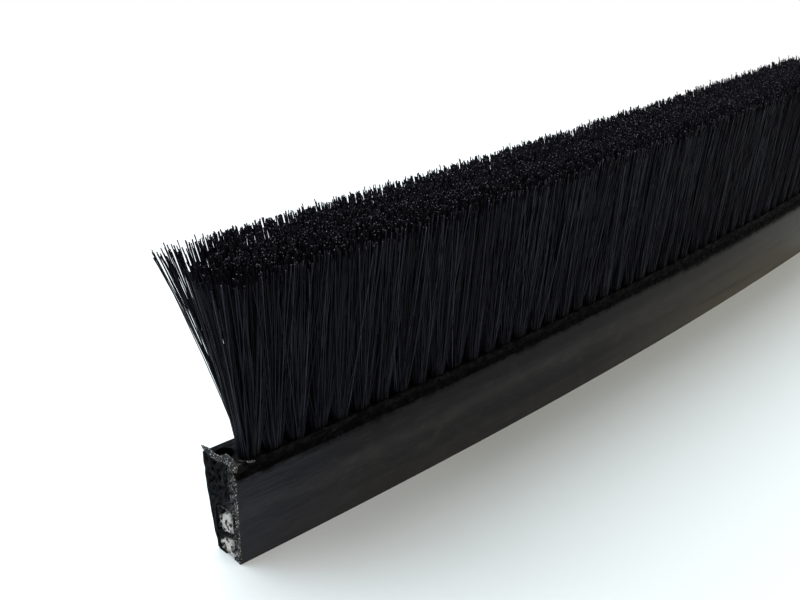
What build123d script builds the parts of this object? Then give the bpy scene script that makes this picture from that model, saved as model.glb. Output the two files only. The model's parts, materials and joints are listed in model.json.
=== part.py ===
from build123d import *

import math
import os
import random

# Brush seal strip, sizes in millimetres. It stands on its rail with the bristles up: +X runs
# along the strip, +Z is up and the front face looks towards -Y. The rail is bowed in plan, with
# both ends bent towards +Y. The origin is on the floor, in the middle of the strip's box.

# Length and bow
pitches = 43
bow_radius = 2066.0

# Tuft holes, drilled from the top in two staggered rows
hole_radius = 2.3
hole_depth = 10.5
hole_wall = 1.6
row_wall = 0.8
front_edge = 1.2
back_edge = 1.8

# Rail section
web_thickness = 2.3
back_foot = 2.2
back_bulge = 0.7
bevel_height = 2.7
bevel_depth = 1.0
corner_round = 0.5

# Channel under the rail, split by a thin rib
front_wall = 2.7
back_wall = 1.6
sole_thickness = 0.6
slot_width = 3.0
slot_setback = 0.5
notch_radius = 0.8
lower_room = 4.3
upper_room = 5.1
channel_shoulder = 1.4
rib_rise = 0.9
rib_thickness = 0.6
filler_clearance = 0.2

# Tufts: a folded bundle in each hole, fanned out above it
tuft_clearance = 0.1
fold_thickness = 1.2
bristle_length = 46.6
front_reach = 6.0
back_reach = 20.0
row_gap = 0.5
tuft_gap = 0.5
knee_height = 17.0
knee_share = 0.58
end_reach = 6.0
end_decay = 1.3
crown_valleys = 3
valley_depth = 2.6
edge_drop = 1.3
crown_jitter = 0.7
crown_tilt = 7.0

# Anchors: flat wire driven across each fold
anchor_thickness = 0.5
anchor_width = 1.8
anchor_clearance = 0.1

# Length and bow that follow from the holes
hole_pitch = 2 * hole_radius + hole_wall
strip_length = hole_pitch * pitches
half_length = strip_length / 2
half_angle = math.degrees(half_length / bow_radius)
sagitta = bow_radius * (1 - math.cos(math.radians(half_angle)))
front_face = (front_reach - back_reach - sagitta) / 2
bow_centre = front_face + bow_radius
bow_axis = Axis((0, bow_centre, 0), (0, 0, 1))

# Depths behind the front face
front_row = front_edge + hole_radius
back_row = front_row + math.sqrt((2 * hole_radius + row_wall) ** 2 - (hole_pitch / 2) ** 2)
row_line = (front_row + back_row) / 2
rail_top_width = back_row + hole_radius + back_edge
slot_front = front_wall + slot_setback
rail_foot_width = slot_front + slot_width + back_foot

# Heights above the floor
rib_height = sole_thickness + lower_room
channel_height = rib_height + rib_thickness + upper_room
hole_floor = channel_height + web_thickness
rail_height = hole_floor + hole_depth
crown_height = rail_height + bristle_length

# Packed holes and shanks are hexagons. This is the angle that half a side takes up at the middle.
half_side = math.radians(30)
shank_radius = hole_radius - tuft_clearance


def station(along, back=0.0, up=0.0):
    """The place at a distance along the bowed front face, set back from it and raised."""
    turn = Location((0, bow_centre, 0), (0, 0, math.degrees(along / bow_radius)))
    return turn * Location((0, back - bow_radius, up))


def cross_plane(along, back=0.0, up=0.0, tilt=0.0):
    """The plane across the strip at a station: its x runs to the back, its y runs up."""
    frame = station(along, back, up) * Location((0, 0, 0), (0, tilt, 0))
    level = Plane(frame)
    return Plane(level.origin, x_dir=level.y_dir, z_dir=level.x_dir)


def back_face(height):
    """How far the back face stands from the front face at a height."""
    share = height / rail_height
    straight = rail_foot_width + (rail_top_width - rail_foot_width) * share
    return straight + 4 * back_bulge * share * (1 - share)


# Channel and rib outlines, drawn in the plane across the strip
inner_foot = back_face(0) - back_wall
inner_top = back_face(channel_height) - back_wall
shoulder_height = channel_height - channel_shoulder
channel_outline = [
    (front_wall, sole_thickness),
    (front_wall, shoulder_height),
    (front_wall + channel_shoulder, channel_height),
    (inner_top - channel_shoulder, channel_height),
    (inner_top, shoulder_height),
    (inner_foot, sole_thickness),
]
rib_outline = [
    (front_wall / 2, rib_height),
    (inner_top, rib_height + rib_rise),
    (inner_top, rib_height + rib_rise + rib_thickness),
    (front_wall / 2, rib_height + rib_thickness),
]

# Hole places: both cut ends pass through a hole of the front row, which has lost its tuft, and
# the first hole of the back row has lost its own
front_holes = [-half_length + hole_pitch * n for n in range(pitches + 1)]
back_holes = [-half_length + hole_pitch * (n + 0.5) for n in range(pitches)]
front_tufts = front_holes[1:-1]
back_tufts = back_holes[1:]
cut_holes = [station(along, front_row, rail_height) for along in (front_holes[0], front_holes[-1])]
lost_hole = station(back_holes[0], back_row, rail_height)
front_sockets = [station(along, front_row) for along in front_tufts]
back_sockets = [station(along, back_row) for along in back_tufts]

# Rail: one extruded section bent round the bow's axis, with two staggered rows of blind holes in
# its land. The empty holes are round, as drilled. The packed ones have six sides, like the shanks
# that fill them.
with BuildPart() as rail:
    with BuildSketch(cross_plane(-half_length)):
        with BuildLine():
            sole = Line((back_face(0), 0), (0, 0))
            face = Line(sole @ 1, (0, rail_height - bevel_height))
            bevel = Line(face @ 1, (bevel_depth, rail_height))
            land = Line(bevel @ 1, (rail_top_width, rail_height))
            bulge = (back_face(rail_height / 2), rail_height / 2)
            ThreePointArc(land @ 1, bulge, sole @ 0)
        section = make_face()
        corners = section.vertices().filter_by_position(Axis.X, rail_foot_width, rail_top_width)
        fillet(corners, corner_round)
        Polygon(*channel_outline, align=None, mode=Mode.SUBTRACT)
        with Locations((front_wall, sole_thickness + notch_radius)):
            Circle(notch_radius, mode=Mode.SUBTRACT)
        with Locations((slot_front, 0)):
            Rectangle(slot_width, sole_thickness, align=Align.MIN, mode=Mode.SUBTRACT)
        Polygon(*rib_outline, align=None)
    revolve(axis=bow_axis, revolution_arc=2 * half_angle)
    with Locations(*cut_holes, lost_hole):
        Hole(hole_radius, depth=hole_depth)
    with BuildSketch(Plane.XY.offset(hole_floor)):
        with Locations(*front_sockets, *back_sockets):
            RegularPolygon(hole_radius, side_count=6, rotation=math.degrees(half_side))
    extrude(amount=hole_depth, mode=Mode.SUBTRACT)

# Filler: a light core in each chamber of the channel, below and above the rib
with BuildSketch() as chambers:
    Polygon(*channel_outline, align=None)
    Polygon(*rib_outline, align=None, mode=Mode.SUBTRACT)
    offset(amount=-filler_clearance, kind=Kind.INTERSECTION)
lower_chamber, upper_chamber = chambers.faces().sort_by(Axis.Y)

with BuildPart() as lower_filler:
    with BuildSketch(cross_plane(-half_length)):
        add(lower_chamber)
    revolve(axis=bow_axis, revolution_arc=2 * half_angle)

with BuildPart() as upper_filler:
    with BuildSketch(cross_plane(-half_length)):
        add(upper_chamber)
    revolve(axis=bow_axis, revolution_arc=2 * half_angle)


def long_hexagon(centre, half_width, half_depth):
    """A hexagon with two sides across the strip and a point to the front and to the back.

    Its sides keep their directions at every size, so a fan between two of them has flat walls.
    """
    across, back = centre
    shoulder = half_depth - half_width * math.tan(half_side)
    return [
        (across + half_width, back - shoulder),
        (across + half_width, back + shoulder),
        (across, back + half_depth),
        (across - half_width, back + shoulder),
        (across - half_width, back - shoulder),
        (across, back - half_depth),
    ]


def blend(low, high, share):
    """A value part of the way from low to high."""
    return low + (high - low) * share


class Fan:
    """How far one tuft spreads at its crown, measured from its own hole."""

    def __init__(self, hole_back, side_low, side_high, depth_low, depth_high):
        self.hole = (0, hole_back)
        self.centre = ((side_low + side_high) / 2, (depth_low + depth_high) / 2)
        self.half_width = (side_high - side_low) / 2
        self.half_depth = (depth_high - depth_low) / 2

    def outline(self, share):
        """The tuft's outline at a share of its full spread."""
        across = blend(self.hole[0], self.centre[0], share)
        back = blend(self.hole[1], self.centre[1], share)
        half_width = blend(shank_radius * math.cos(half_side), self.half_width, share)
        half_depth = blend(shank_radius, self.half_depth, share)
        return long_hexagon((across, back), half_width, half_depth)

    def ring(self, along, height, share):
        """The corners of that outline at a height, for the tuft at a place along the strip."""
        corners = self.outline(share)
        places = [station(along, back, height) * Location((across, 0, 0)) for across, back in corners]
        return [place.position for place in places]


def crown_cutter(fan, chance):
    """The region above a tuft's ragged crown, which has valleys with a lock between each two."""
    steps = 2 * crown_valleys
    low = fan.centre[1] - fan.half_depth - tuft_gap
    step = 2 * (fan.half_depth + tuft_gap) / steps
    drops = [edge_drop] + [valley_depth * (n % 2) for n in range(1, steps)] + [edge_drop]
    crown = [(low + step * n, -drop - chance.uniform(0, crown_jitter)) for n, drop in enumerate(drops)]
    return [(low, valley_depth), *crown, (low + steps * step, valley_depth)]


def make_tuft(along, fan, chance):
    """One tuft: a shank folded round its anchor in the hole, and a fan that ends in a crown."""
    window_back = fan.hole[1] - anchor_thickness / 2 - anchor_clearance
    window_up = hole_floor + fold_thickness - anchor_clearance
    window = (anchor_thickness + 2 * anchor_clearance, anchor_width + 2 * anchor_clearance)
    tilt = chance.uniform(-crown_tilt, crown_tilt)
    with BuildPart() as tuft:
        with BuildSketch(Plane(station(along, 0, hole_floor))):
            Polygon(*fan.outline(0), align=None)
        extrude(amount=hole_depth)
        for low, high in zip(storeys, storeys[1:]):
            ConvexPolyhedron(fan.ring(along, *low) + fan.ring(along, *high))
        with BuildSketch(cross_plane(along)):
            with Locations((window_back, window_up)):
                Rectangle(*window, align=Align.MIN)
        extrude(amount=hole_radius, both=True, mode=Mode.SUBTRACT)
        with BuildSketch(cross_plane(along, up=crown_height, tilt=tilt)):
            Polygon(*crown_cutter(fan, chance), align=None)
        extrude(amount=2 * hole_pitch, both=True, mode=Mode.SUBTRACT)
    return tuft.part


def tops(holes, nominal_step):
    """Where each tuft of a row starts and ends along the strip at its crown.

    The limits lie midway between holes. Near a cut end they move outwards, because nothing
    there holds the bristles in.
    """
    limits = [along - nominal_step / 2 for along in holes] + [holes[-1] + nominal_step / 2]
    low_reach = limits[0] + half_length + end_reach
    high_reach = half_length + end_reach - limits[-1]
    last = len(limits) - 1
    spread = []
    for n, limit in enumerate(limits):
        outwards = high_reach * math.exp((n - last) / end_decay) - low_reach * math.exp(-n / end_decay)
        spread.append(limit + outwards)
    return [(low + tuft_gap / 2, high - tuft_gap / 2) for low, high in zip(spread, spread[1:])]


chance = random.Random(11)
storeys = [(rail_height, 0), (rail_height + knee_height, knee_share), (crown_height, 1)]
front_depth = (-front_reach, row_line - row_gap / 2)
back_depth = (row_line + row_gap / 2, back_reach)

# Tufts: a front one and the back one beside it make each numbered pair
pairs = []
rows = zip(front_tufts, tops(front_tufts, hole_pitch), back_tufts, tops(back_tufts, hole_pitch))
for number, (front, front_top, back, back_top) in enumerate(rows, start=1):
    front_fan = Fan(front_row, front_top[0] - front, front_top[1] - front, *front_depth)
    back_fan = Fan(back_row, back_top[0] - back, back_top[1] - back, *back_depth)
    front_tuft = make_tuft(front, front_fan, chance)
    front_tuft.label = "front_tuft"
    back_tuft = make_tuft(back, back_fan, chance)
    back_tuft.label = "back_tuft"
    pairs.append(Compound(label=f"tufts_{number:02d}", children=[front_tuft, back_tuft]))

# Anchors: one in each fold, lying along the strip
anchor_length = 2 * (hole_radius * math.cos(half_side) - anchor_clearance)
anchor_up = hole_floor + fold_thickness
front_folds = [station(along, front_row, anchor_up) for along in front_tufts]
back_folds = [station(along, back_row, anchor_up) for along in back_tufts]
with BuildPart() as anchors:
    with Locations(*front_folds, *back_folds):
        Box(anchor_length, anchor_thickness, anchor_width, align=(Align.CENTER, Align.CENTER, Align.MIN))

os.makedirs("parts", exist_ok=True)
named = {"rail": rail, "lower_filler": lower_filler, "upper_filler": upper_filler, "anchors": anchors}
for name, piece in named.items():
    piece.part.label = name
    export_step(piece.part, f"parts/{name}.step")
for pair in pairs:
    export_step(pair, f"parts/{pair.label}.step")
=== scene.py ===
"""A bowed black rail that carries two rows of tufted bristles, dressed and lit for its picture."""

import json
import logging
import math
from dataclasses import dataclass, field
from enum import Enum, IntEnum

import bmesh
import bpy
import numpy as np
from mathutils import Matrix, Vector, noise
from mathutils.geometry import delaunay_2d_cdt

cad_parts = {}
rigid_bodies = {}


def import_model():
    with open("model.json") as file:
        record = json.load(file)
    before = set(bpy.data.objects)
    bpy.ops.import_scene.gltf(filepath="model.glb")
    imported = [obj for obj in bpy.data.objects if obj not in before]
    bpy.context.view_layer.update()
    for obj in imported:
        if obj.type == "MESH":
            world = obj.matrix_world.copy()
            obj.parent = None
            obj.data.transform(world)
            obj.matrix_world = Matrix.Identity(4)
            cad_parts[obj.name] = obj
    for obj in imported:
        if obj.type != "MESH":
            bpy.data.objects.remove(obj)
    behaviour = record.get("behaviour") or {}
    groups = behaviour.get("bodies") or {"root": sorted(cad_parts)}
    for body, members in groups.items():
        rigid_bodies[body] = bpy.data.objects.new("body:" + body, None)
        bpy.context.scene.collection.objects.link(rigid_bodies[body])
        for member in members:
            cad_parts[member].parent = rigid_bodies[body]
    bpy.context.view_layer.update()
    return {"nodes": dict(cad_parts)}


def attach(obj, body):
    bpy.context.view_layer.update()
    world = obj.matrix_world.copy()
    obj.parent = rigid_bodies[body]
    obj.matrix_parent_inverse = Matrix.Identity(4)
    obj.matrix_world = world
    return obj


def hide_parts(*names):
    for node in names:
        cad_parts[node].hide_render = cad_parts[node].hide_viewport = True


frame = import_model()

log = logging.getLogger("brush_strip")

MM = 0.001
Points = np.ndarray
Faces = np.ndarray
Colour = tuple[float, float, float]
Place = tuple[float, float, float]
Span = tuple[float, float]


class Slot(Enum):
    """The record's material slots, one passed with each new piece."""

    RAIL = "rail"
    FILLER = "filler"
    BRISTLES = "bristles"


class End(Enum):
    """The two cut ends of the strip, by the side of the middle that they lie on."""

    NEAR = -1
    FAR = 1


class Row(Enum):
    """The two rows of tufts."""

    FRONT = "front"
    BACK = "back"


class Bumps(Enum):
    """Kinds of unevenness, by how far apart their bumps lie, in millimetres, and their seed."""

    BURR = (1.5, 1.0)
    BURR_FINE = (0.5, 2.0)
    BURR_CHIPS = (1.9, 3.0)
    BURR_FOOT = (4.0, 16.0)
    BURR_FOOT_FINE = (1.2, 17.0)
    SAWN_EDGE = (1.4, 4.0)
    SAWN_EDGE_FINE = (0.5, 5.0)
    SAWN_PITS = (1.2, 14.0)
    SAWN_PITS_FINE = (0.5, 15.0)
    BORE = (0.9, 20.0)
    BORE_FINE = (0.4, 21.0)
    LIP = (1.0, 22.0)
    LIP_FINE = (0.45, 10.0)
    CORE = (1.3, 6.0)
    CORE_FINE = (0.55, 18.0)
    CORE_EDGE = (1.3, 9.0)
    CORE_HOLLOW = (1.7, 7.0)
    CORE_HOLLOW_FINE = (0.5, 8.0)
    TRIM = (4.5, 12.0)
    LOCKS = (1.6, 13.0)


class BristleFace(IntEnum):
    """The faces of a bristle, by the number of their finish."""

    SIDE = 0
    CUT = 1
    TIP = 2


@dataclass(frozen=True)
class Strip:
    """The sizes that all sub-assemblies share, in millimetres, and the bow that they follow."""

    pitches: int = 43
    bow_radius: float = 2066.0
    hole_radius: float = 2.3
    hole_depth: float = 10.5
    hole_wall: float = 1.6
    row_wall: float = 0.8
    front_row: float = 3.5
    front_reach: float = 6.0
    back_reach: float = 20.0
    rail_height: float = 23.4
    top_width: float = 12.02
    foot_width: float = 8.4
    back_bulge: float = 0.7
    bristle_length: float = 46.6
    end_reach: float = 6.0
    end_decay: float = 1.0

    @property
    def pitch(self) -> float:
        """The distance between neighbouring holes of one row."""
        return 2 * self.hole_radius + self.hole_wall

    @property
    def back_row(self) -> float:
        """How far the back row of holes stands behind the front face."""
        return self.front_row + math.sqrt((2 * self.hole_radius + self.row_wall) ** 2 - self.pitch**2 / 4)

    @property
    def half_length(self) -> float:
        """Half the length of the rail along its bow."""
        return self.pitch * self.pitches / 2

    @property
    def sagitta(self) -> float:
        """How far the bow brings both ends back."""
        return self.bow_radius * (1 - math.cos(self.half_length / self.bow_radius))

    @property
    def bow_centre(self) -> float:
        """Where the bow's axis stands on Y."""
        return (self.front_reach - self.back_reach - self.sagitta) / 2 + self.bow_radius

    @property
    def hole_floor(self) -> float:
        """The height of the holes' floors."""
        return self.rail_height - self.hole_depth

    def holes(self, row: Row) -> Points:
        """Where the holes of a row lie along the strip.

        Args:
            row: the row of holes.

        Returns:
            The places along the bow, from the near end to the far one.
        """
        if row is Row.FRONT:
            return -self.half_length + self.pitch * np.arange(self.pitches + 1)
        return -self.half_length + self.pitch * (np.arange(self.pitches) + 0.5)

    def place(self, along: Points, back: Points, up: Points) -> Points:
        """Bends flat coordinates round the bow.

        Args:
            along: distances along the front face.
            back: distances behind the front face.
            up: heights above the floor.

        Returns:
            Points in the part's frame, in millimetres, one row each.
        """
        along, back, up = np.broadcast_arrays(along, back, up)
        angle = along / self.bow_radius
        reach = self.bow_radius - back
        return np.stack([reach * np.sin(angle), self.bow_centre - reach * np.cos(angle), up], axis=-1)

    def unbend(self, points: Points) -> Points:
        """Turns points of the part's frame back into distances along, behind and above.

        Args:
            points: points in millimetres.

        Returns:
            Their flat coordinates, one row each.
        """
        across = self.bow_centre - points[..., 1]
        angle = np.arctan2(points[..., 0], across)
        back = self.bow_radius - np.hypot(points[..., 0], across)
        return np.stack([angle * self.bow_radius, back, points[..., 2]], axis=-1)

    def back_face(self, height: float) -> float:
        """How far the back face stands behind the front face at a height."""
        share = height / self.rail_height
        straight = self.foot_width + (self.top_width - self.foot_width) * share
        return straight + 4 * self.back_bulge * share * (1 - share)


def ripple(points: Points, bumps: Bumps, shift: float = 0.0) -> Points:
    """Smooth noise between about -1 and 1 at many points.

    Args:
        points: rows of three coordinates.
        bumps: the kind of noise.
        shift: is added to its seed.

    Returns:
        One value for each row.
    """
    size, seed = bumps.value
    seed += shift
    away = Vector((seed * 17.3, seed * 5.1, seed * 9.7))
    return np.array([noise.noise(Vector(row) / size + away) for row in points.reshape(-1, 3).tolist()])


def inside(places: Points, ring: Points) -> Points:
    """Which places lie inside a closed outline.

    Args:
        places: rows of two coordinates.
        ring: the outline's corners in order.

    Returns:
        One truth value for each place.
    """
    found = np.zeros(len(places), bool)
    for (x0, y0), (x1, y1) in zip(ring, np.roll(ring, -1, axis=0)):
        if y0 == y1:
            continue
        spans = (y0 > places[:, 1]) != (y1 > places[:, 1])
        found ^= spans & (places[:, 0] < x0 + (x1 - x0) * (places[:, 1] - y0) / (y1 - y0))
    return found


def nearest(places: Points, corners: Points) -> Points:
    """How far each place lies from the nearest of some corners."""
    return np.linalg.norm(places[:, None, :] - corners[None, :, :], axis=-1).min(axis=1)


def fill_between(rim: Points, hole: Points, loose: Points) -> tuple[Points, Faces]:
    """Fills an outline with triangles that pass through loose points and leave a hole open.

    Args:
        rim: the outline's corners in order.
        hole: the corners of the hole in it.
        loose: points inside the outline.

    Returns:
        The loose points that are used, and the triangles. Their point numbers count the rim's corners
        first, then the hole's, then the used points.
    """
    loops = np.concatenate([rim, hole])
    edges = [(n, (n + 1) % len(rim)) for n in range(len(rim))]
    edges += [(len(rim) + n, len(rim) + (n + 1) % len(hole)) for n in range(len(hole))]
    everything = [Vector(row) for row in np.concatenate([loops, loose]).tolist()]
    _, _, faces, came_from, _, _ = delaunay_2d_cdt(everything, edges, [], 2, 1e-5)
    number = {made: sources[0] for made, sources in enumerate(came_from) if sources}
    centres = np.array([[everything[number[corner]] for corner in face] for face in faces]).mean(axis=1)
    faces = [face for face, lost in zip(faces, inside(centres, hole)) if not lost]
    used = sorted({number[corner] for face in faces for corner in face if number[corner] >= len(loops)})
    renumber = {old: len(loops) + new for new, old in enumerate(used)}
    renumber.update({n: n for n in range(len(loops))})
    triangles = np.array([[renumber[number[corner]] for corner in face] for face in faces])
    return np.array([everything[n] for n in used]), triangles


def sheet_of_faces(rings: int, around: int, start: int = 0) -> Faces:
    """The quads between successive closed rings of points.

    Args:
        rings: how many rings there are.
        around: how many points each ring has.
        start: the number of the first point.

    Returns:
        Rows of four point numbers.
    """
    ring = np.arange(rings - 1)[:, None] * around
    step = np.arange(around)[None, :]
    ahead = (step + 1) % around
    quads = np.stack([ring + step, ring + ahead, ring + around + ahead, ring + around + step], axis=-1)
    return quads.reshape(-1, 4) + start


def make_mesh(name: str, points: Points, groups: list[Faces]) -> bpy.types.Mesh:
    """Builds a mesh from points in millimetres and groups of faces of like corner count.

    Args:
        name: the mesh's name.
        points: rows of three coordinates.
        groups: arrays of faces, each with its own number of corners.

    Returns:
        The mesh, in metres.
    """
    mesh = bpy.data.meshes.new(name)
    corners = np.concatenate([group.ravel() for group in groups]).astype(np.int32)
    sizes = np.concatenate([np.full(len(group), group.shape[1]) for group in groups])
    starts = np.concatenate([[0], np.cumsum(sizes)[:-1]]).astype(np.int32)
    mesh.vertices.add(len(points))
    mesh.vertices.foreach_set("co", (points * MM).astype(np.float32).ravel())
    mesh.loops.add(len(corners))
    mesh.loops.foreach_set("vertex_index", corners)
    mesh.polygons.add(len(starts))
    mesh.polygons.foreach_set("loop_start", starts)
    mesh.update(calc_edges=True)
    mesh.validate()
    return mesh


def face_outwards(mesh: bpy.types.Mesh) -> None:
    """Turns every face of a closed mesh to look outwards."""
    work = bmesh.new()
    work.from_mesh(mesh)
    bmesh.ops.recalc_face_normals(work, faces=work.faces)
    work.to_mesh(mesh)
    work.free()


def smooth_below(mesh: bpy.types.Mesh, degrees: float) -> None:
    """Shades a mesh smooth, apart from edges sharper than an angle."""
    mesh.polygons.foreach_set("use_smooth", np.ones(len(mesh.polygons), bool))
    mesh.set_sharp_from_angle(angle=math.radians(degrees))


def mesh_points(mesh: bpy.types.Mesh) -> Points:
    """The points of a mesh, in millimetres."""
    flat = np.zeros(len(mesh.vertices) * 3, np.float32)
    mesh.vertices.foreach_get("co", flat)
    return flat.reshape(-1, 3).astype(float) / MM


def store(mesh: bpy.types.Mesh, name: str, values: Points) -> None:
    """Keeps one number for each point of a mesh, for its finish to read."""
    mesh.attributes.new(name, "FLOAT", "POINT").data.foreach_set("value", values.astype(np.float32))


def put_on_strip(mesh: bpy.types.Mesh, slot: Slot, *finishes: bpy.types.Material) -> bpy.types.Object:
    """Makes a mesh a piece of the strip.

    Args:
        mesh: the piece's mesh, whose name becomes the piece's.
        slot: the record's slot that the piece is finished from; not used.
        finishes: its materials, in the order that the faces number them.

    Returns:
        The new object, riding on the strip.
    """
    piece = bpy.data.objects.new(mesh.name, mesh)
    bpy.context.scene.collection.objects.link(piece)
    for finish in finishes:
        mesh.materials.append(finish)
    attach(piece, "root")
    return piece


class Value:
    """A shader socket that can be written into expressions."""

    def __init__(self, bench: "Bench", socket: bpy.types.NodeSocket) -> None:
        """Wraps a socket of a bench's tree."""
        self.bench = bench
        self.socket = socket

    def _math(self, operation: str, first: "Value | float", second: "Value | float") -> "Value":
        """Adds one Math node."""
        return self.bench.node("ShaderNodeMath", {"operation": operation}, {0: first, 1: second})

    def __add__(self, other: "Value | float") -> "Value":
        """The sum of two values."""
        return self._math("ADD", self, other)

    __radd__ = __add__

    def __sub__(self, other: "Value | float") -> "Value":
        """The difference of two values."""
        return self._math("SUBTRACT", self, other)

    def __rsub__(self, other: "Value | float") -> "Value":
        """A number less this value."""
        return self._math("SUBTRACT", other, self)

    def __mul__(self, other: "Value | float") -> "Value":
        """The product of two values."""
        return self._math("MULTIPLY", self, other)

    __rmul__ = __mul__

    def __pow__(self, other: "Value | float") -> "Value":
        """This value to a power."""
        return self._math("POWER", self, other)

    def __gt__(self, other: "Value | float") -> "Value":
        """One where this value is greater, and zero elsewhere."""
        return self._math("GREATER_THAN", self, other)

    def ramp(self, low: float, high: float) -> "Value":
        """This value stretched so that low becomes 0 and high becomes 1, and held between them."""
        return self.bench.node("ShaderNodeMapRange", {"clamp": True}, {0: self, 1: low, 2: high})

    def ramp_mm(self, low: float, high: float) -> "Value":
        """The same for a length, between two lengths in millimetres."""
        return self.ramp(low * MM, high * MM)


class Bench:
    """The node tree of a finish or of the world, and the nodes that are added to it."""

    def __init__(self, holder: bpy.types.Material | bpy.types.World) -> None:
        """Empties a tree.

        Args:
            holder: the new material or world that the tree belongs to.
        """
        holder.use_nodes = True
        self.holder = holder
        self.tree = holder.node_tree
        self.tree.nodes.clear()

    @classmethod
    def for_finish(cls, name: str) -> "Bench":
        """Starts an empty material with a name."""
        return cls(bpy.data.materials.new(name))

    def raw(self, kind: str, settings: dict | None = None, inputs: dict | None = None) -> bpy.types.Node:
        """Adds a node, sets what it does and fills its sockets.

        Args:
            kind: the node's type.
            settings: its own settings, such as a Math node's operation, which are set first.
            inputs: numbers, colours or values for its sockets, by name or number.

        Returns:
            The node.
        """
        node = self.tree.nodes.new(kind)
        for key, value in (settings or {}).items():
            setattr(node, key, value)
        for key, value in (inputs or {}).items():
            if isinstance(value, Value):
                self.tree.links.new(value.socket, node.inputs[key])
            else:
                node.inputs[key].default_value = value
        return node

    def node(
        self, kind: str, settings: dict | None = None, inputs: dict | None = None, output: int | str = 0
    ) -> Value:
        """Adds a node as raw does, and gives one of its outputs as a value."""
        return Value(self, self.raw(kind, settings, inputs).outputs[output])

    def where(self) -> Value:
        """The place in the part's frame."""
        return self.node("ShaderNodeTexCoord", output="Object")

    def kept(self, name: str) -> Value:
        """A number that the mesh keeps for each point."""
        return self.node("ShaderNodeAttribute", {"attribute_name": name}, output="Fac")

    def seen(self) -> Value:
        """One for what the camera sees, straight or by gloss or glass, and zero for what lights it."""
        path = self.raw("ShaderNodeLightPath")
        kinds = ("Is Camera Ray", "Is Glossy Ray", "Is Transmission Ray")
        straight, glossy, through = (Value(self, path.outputs[kind]) for kind in kinds)
        return (straight + glossy + through).ramp(0.0, 1.0)

    def axis(self, vector: Value, letter: str) -> Value:
        """One coordinate of a place."""
        return self.node("ShaderNodeSeparateXYZ", None, {0: vector}, output=letter)

    def reach(self, vector: Value, way: tuple[float, float, float]) -> Value:
        """How far a place lies along a direction."""
        inputs = {0: vector, 1: way}
        return self.node("ShaderNodeVectorMath", {"operation": "DOT_PRODUCT"}, inputs, output="Value")

    def stretch(self, vector: Value, scale: tuple[float, float, float]) -> Value:
        """A place scaled by its own factor along each axis."""
        return self.node("ShaderNodeVectorMath", {"operation": "MULTIPLY"}, {0: vector, 1: scale})

    def streaks(
        self, vector: Value, squeeze: float, size: float, detail: float = 3.0, roughness: float = 0.55
    ) -> Value:
        """Noise that is drawn out along the strip.

        Args:
            vector: the place, in metres.
            squeeze: the share of the distance along the strip that counts, small for long streaks.
            size: how far apart the streaks lie, in millimetres.
            detail: how many finer layers it has.
            roughness: how strong those are.

        Returns:
            The noise's value.
        """
        return self.grain(self.stretch(vector, (squeeze, 1.0, 1.0)), size, detail, roughness)

    def grain(self, vector: Value, size: float, detail: float = 3.0, roughness: float = 0.55) -> Value:
        """Noise between 0 and 1.

        Args:
            vector: the place, in metres.
            size: how far apart its bumps lie, in millimetres.
            detail: how many finer layers it has.
            roughness: how strong those are.

        Returns:
            The noise's value.
        """
        inputs = {"Vector": vector, "Scale": 1 / (size * MM), "Detail": detail, "Roughness": roughness}
        return self.node("ShaderNodeTexNoise", None, inputs)

    def cells(self, vector: Value, size: float) -> Value:
        """The distance to the nearest of scattered points, in cells of a size in millimetres."""
        return self.node("ShaderNodeTexVoronoi", None, {"Vector": vector, "Scale": 1 / (size * MM)})

    def blend(self, share: Value | float, first: Value | tuple, second: Value | tuple) -> Value:
        """A colour part of the way from the first to the second."""
        def colour(value: Value | tuple) -> Value | tuple:
            """Adds the alpha that a colour socket wants."""
            return value if isinstance(value, Value) else (*value, 1.0)

        inputs = {0: share, 6: colour(first), 7: colour(second)}
        return self.node("ShaderNodeMix", {"data_type": "RGBA"}, inputs, output=2)

    def bump(
        self, height: Value, distance: float, strength: float = 1.0, under: Value | None = None
    ) -> Value:
        """A normal bent by a height.

        Args:
            height: the height, from 0 to 1.
            distance: what a height of 1 stands for, in millimetres.
            strength: how much of the bend is kept.
            under: the normal that this one is laid over.

        Returns:
            The bent normal.
        """
        inputs = {"Height": height, "Distance": distance * MM, "Strength": strength}
        if under is not None:
            inputs["Normal"] = under
        return self.node("ShaderNodeBump", None, inputs)

    def surface(self, **sockets: "Value | float | tuple") -> Value:
        """A Principled surface, whose inputs are named with underscores for spaces."""
        inputs = {name.replace("_", " "): value for name, value in sockets.items()}
        return self.node("ShaderNodeBsdfPrincipled", None, inputs)

    def end(self, surface: Value) -> bpy.types.Material:
        """Ends the material in a surface and gives it back."""
        self.raw("ShaderNodeOutputMaterial", None, {"Surface": surface})
        return self.holder

    def finish(self, **sockets: "Value | float | tuple") -> bpy.types.Material:
        """Ends the material in one Principled surface with the given inputs."""
        return self.end(self.surface(**sockets))


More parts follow.
